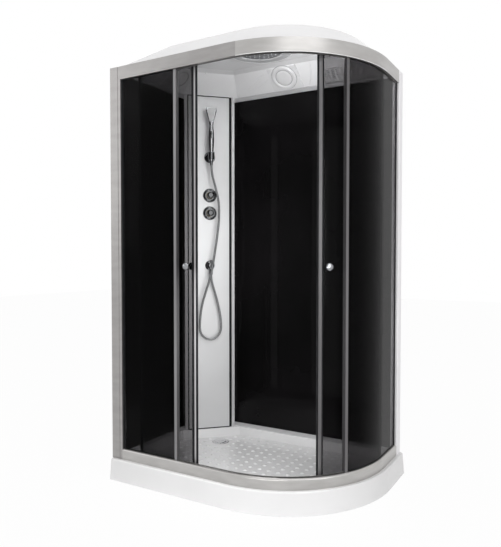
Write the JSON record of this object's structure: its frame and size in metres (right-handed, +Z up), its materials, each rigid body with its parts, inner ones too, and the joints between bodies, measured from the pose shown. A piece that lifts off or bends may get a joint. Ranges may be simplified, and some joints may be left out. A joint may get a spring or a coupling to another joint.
{
  "type": "shower cabin",
  "caption": "Corner shower cabin with a rounded front: low tray, smoked glass screens with sliding doors on rollers, silver shower column with handset and rain head, domed roof.",
  "frame": {"origin": "floor level under the centre of the tray's 1200 by 800 mm rectangle", "axes": "+Z up; +Y towards the back wall, so the doors face -Y; +X to the right of someone facing the doors, away from the left wall"},
  "size_m": [1.2, 0.8, 2.073],
  "materials": {
    "tray_acrylic": "gloss white acrylic",
    "roof_acrylic": "gloss white acrylic",
    "satin_aluminium": "satin silver anodised",
    "column_silver": "satin silver",
    "smoked_glass": "clear smoked",
    "black_glass": "polished black, back painted",
    "chrome": "polished",
    "black_rubber": "matt",
    "clear_seal": "soft translucent grey",
    "hose_grey": "ribbed silver",
    "white_plastic": "white moulding",
    "grey_plastic": "matt grey",
    "wheel_plastic": "nylon",
    "galvanised_steel": "galvanised",
    "brass": "plain",
    "dark_plastic": "matt black"
  },
  "bodies": {
    "cabin": {"shower_tray": "tray_acrylic", "tray_frame": "galvanised_steel", "tray_feet": "galvanised_steel", "drain_trap": "white_plastic", "drain_flange": "chrome", "bottom_rail": "satin_aluminium", "top_rail_straight": "satin_aluminium", "top_rail_curved": "satin_aluminium", "left_wall_post": "satin_aluminium", "right_wall_post": "satin_aluminium", "left_fixed_glass": "smoked_glass", "right_fixed_glass": "smoked_glass", "left_fixed_edge": "satin_aluminium", "right_fixed_edge": "satin_aluminium", "jamb_gaskets": "black_rubber", "door_stops": "black_rubber", "back_wall_glass": "black_glass", "left_wall_glass": "black_glass", "wall_profiles": "satin_aluminium", "column_panel": "column_silver", "column_seals": "black_rubber", "column_edges": "satin_aluminium", "valve_body": "brass", "outlet_pipe": "brass", "knob_roses": "chrome", "hose_outlet": "chrome", "hose_nut": "chrome", "shower_hose": "hose_grey", "handset_holder": "chrome", "roof_shell": "roof_acrylic", "back_cove_disc": "grey_plastic", "left_cove_disc": "grey_plastic", "vent_grille": "grey_plastic", "rain_ring": "chrome", "rain_plate": "dark_plastic", "rain_pipe": "brass"},
    "mixer_knob": {"mixer_knob": "chrome"},
    "diverter_knob": {"diverter_knob": "chrome"},
    "handset": {"handset_body": "chrome", "handset_face": "grey_plastic", "hose_cone": "chrome"},
    "drain_cover": {"drain_cover": "chrome"},
    "left_door": {"left_door_glass": "smoked_glass", "left_door_stile": "satin_aluminium", "left_door_seals": "black_rubber", "left_door_handle": "chrome", "left_door_carriers": "chrome"},
    "left_wheel_top_front": {"left_wheel_top_front": "wheel_plastic"},
    "left_wheel_top_rear": {"left_wheel_top_rear": "wheel_plastic"},
    "left_wheel_low_front": {"left_wheel_low_front": "wheel_plastic"},
    "left_wheel_low_rear": {"left_wheel_low_rear": "wheel_plastic"},
    "right_door": {"right_door_glass": "smoked_glass", "right_door_stile": "satin_aluminium", "right_door_seals": "black_rubber", "right_door_handle": "chrome", "right_door_carriers": "chrome"},
    "right_wheel_top_front": {"right_wheel_top_front": "wheel_plastic"},
    "right_wheel_top_rear": {"right_wheel_top_rear": "wheel_plastic"},
    "right_wheel_low_front": {"right_wheel_low_front": "wheel_plastic"},
    "right_wheel_low_rear": {"right_wheel_low_rear": "wheel_plastic"}
  },
  "joints": [
    {"name": "left_door_slide", "type": "slide", "parent": "cabin", "child": "left_door", "axis": [1, 0, 0], "range_m": [0, 0.225]},
    {"name": "right_door_turn", "type": "hinge", "parent": "cabin", "child": "right_door", "pos_m": [0.05, 0.15, 0.1], "axis": [0, 0, 1], "range_deg": [-38.62, 0]},
    {"name": "left_wheel_top_front_spin", "type": "hinge", "parent": "left_door", "child": "left_wheel_top_front", "pos_m": [-0.179, -0.3435, 1.9198], "axis": [0, 1, 0], "continuous": true},
    {"name": "left_wheel_top_rear_spin", "type": "hinge", "parent": "left_door", "child": "left_wheel_top_rear", "pos_m": [-0.426, -0.3435, 1.9198], "axis": [0, 1, 0], "continuous": true},
    {"name": "left_wheel_low_front_spin", "type": "hinge", "parent": "left_door", "child": "left_wheel_low_front", "pos_m": [-0.179, -0.3435, 0.1182], "axis": [0, 1, 0], "continuous": true},
    {"name": "left_wheel_low_rear_spin", "type": "hinge", "parent": "left_door", "child": "left_wheel_low_rear", "pos_m": [-0.426, -0.3435, 0.1182], "axis": [0, 1, 0], "continuous": true},
    {"name": "right_wheel_top_front_spin", "type": "hinge", "parent": "right_door", "child": "right_wheel_top_front", "pos_m": [0.42941, -0.16558, 1.9198], "axis": [-0.7688, 0.6395, 0], "continuous": true},
    {"name": "right_wheel_top_rear_spin", "type": "hinge", "parent": "right_door", "child": "right_wheel_top_rear", "pos_m": [0.54348, 0.15413, 1.9198], "axis": [-1, -0.0084, 0], "continuous": true},
    {"name": "right_wheel_low_front_spin", "type": "hinge", "parent": "right_door", "child": "right_wheel_low_front", "pos_m": [0.42941, -0.16558, 0.1182], "axis": [-0.7688, 0.6395, 0], "continuous": true},
    {"name": "right_wheel_low_rear_spin", "type": "hinge", "parent": "right_door", "child": "right_wheel_low_rear", "pos_m": [0.54348, 0.15413, 0.1182], "axis": [-1, -0.0084, 0], "continuous": true},
    {"name": "mixer_turn", "type": "hinge", "parent": "cabin", "child": "mixer_knob", "pos_m": [-0.43984, 0.23187, 1.304], "axis": [0.7071, -0.7071, 0], "range_deg": [-45, 45]},
    {"name": "diverter_turn", "type": "hinge", "parent": "cabin", "child": "diverter_knob", "pos_m": [-0.43984, 0.23187, 1.402], "axis": [0.7071, -0.7071, 0], "range_deg": [0, 90]},
    {"name": "handset_lift", "type": "slide", "parent": "cabin", "child": "handset", "axis": [0, 0, 1], "range_m": [0, 0.05]},
    {"name": "drain_cover_lift", "type": "slide", "parent": "cabin", "child": "drain_cover", "axis": [0, 0, 1], "range_m": [0, 0.04]}
  ],
  "couplings": [
    {"joint": "left_wheel_top_front_spin", "follows": "left_door_slide", "rad_per_m": 105.26},
    {"joint": "left_wheel_top_rear_spin", "follows": "left_door_slide", "rad_per_m": 105.26},
    {"joint": "left_wheel_low_front_spin", "follows": "left_door_slide", "rad_per_m": -105.26},
    {"joint": "left_wheel_low_rear_spin", "follows": "left_door_slide", "rad_per_m": -105.26},
    {"joint": "right_wheel_top_front_spin", "follows": "right_door_turn", "ratio": 51.947},
    {"joint": "right_wheel_top_rear_spin", "follows": "right_door_turn", "ratio": 51.947},
    {"joint": "right_wheel_low_front_spin", "follows": "right_door_turn", "ratio": -51.947},
    {"joint": "right_wheel_low_rear_spin", "follows": "right_door_turn", "ratio": -51.947}
  ]
}
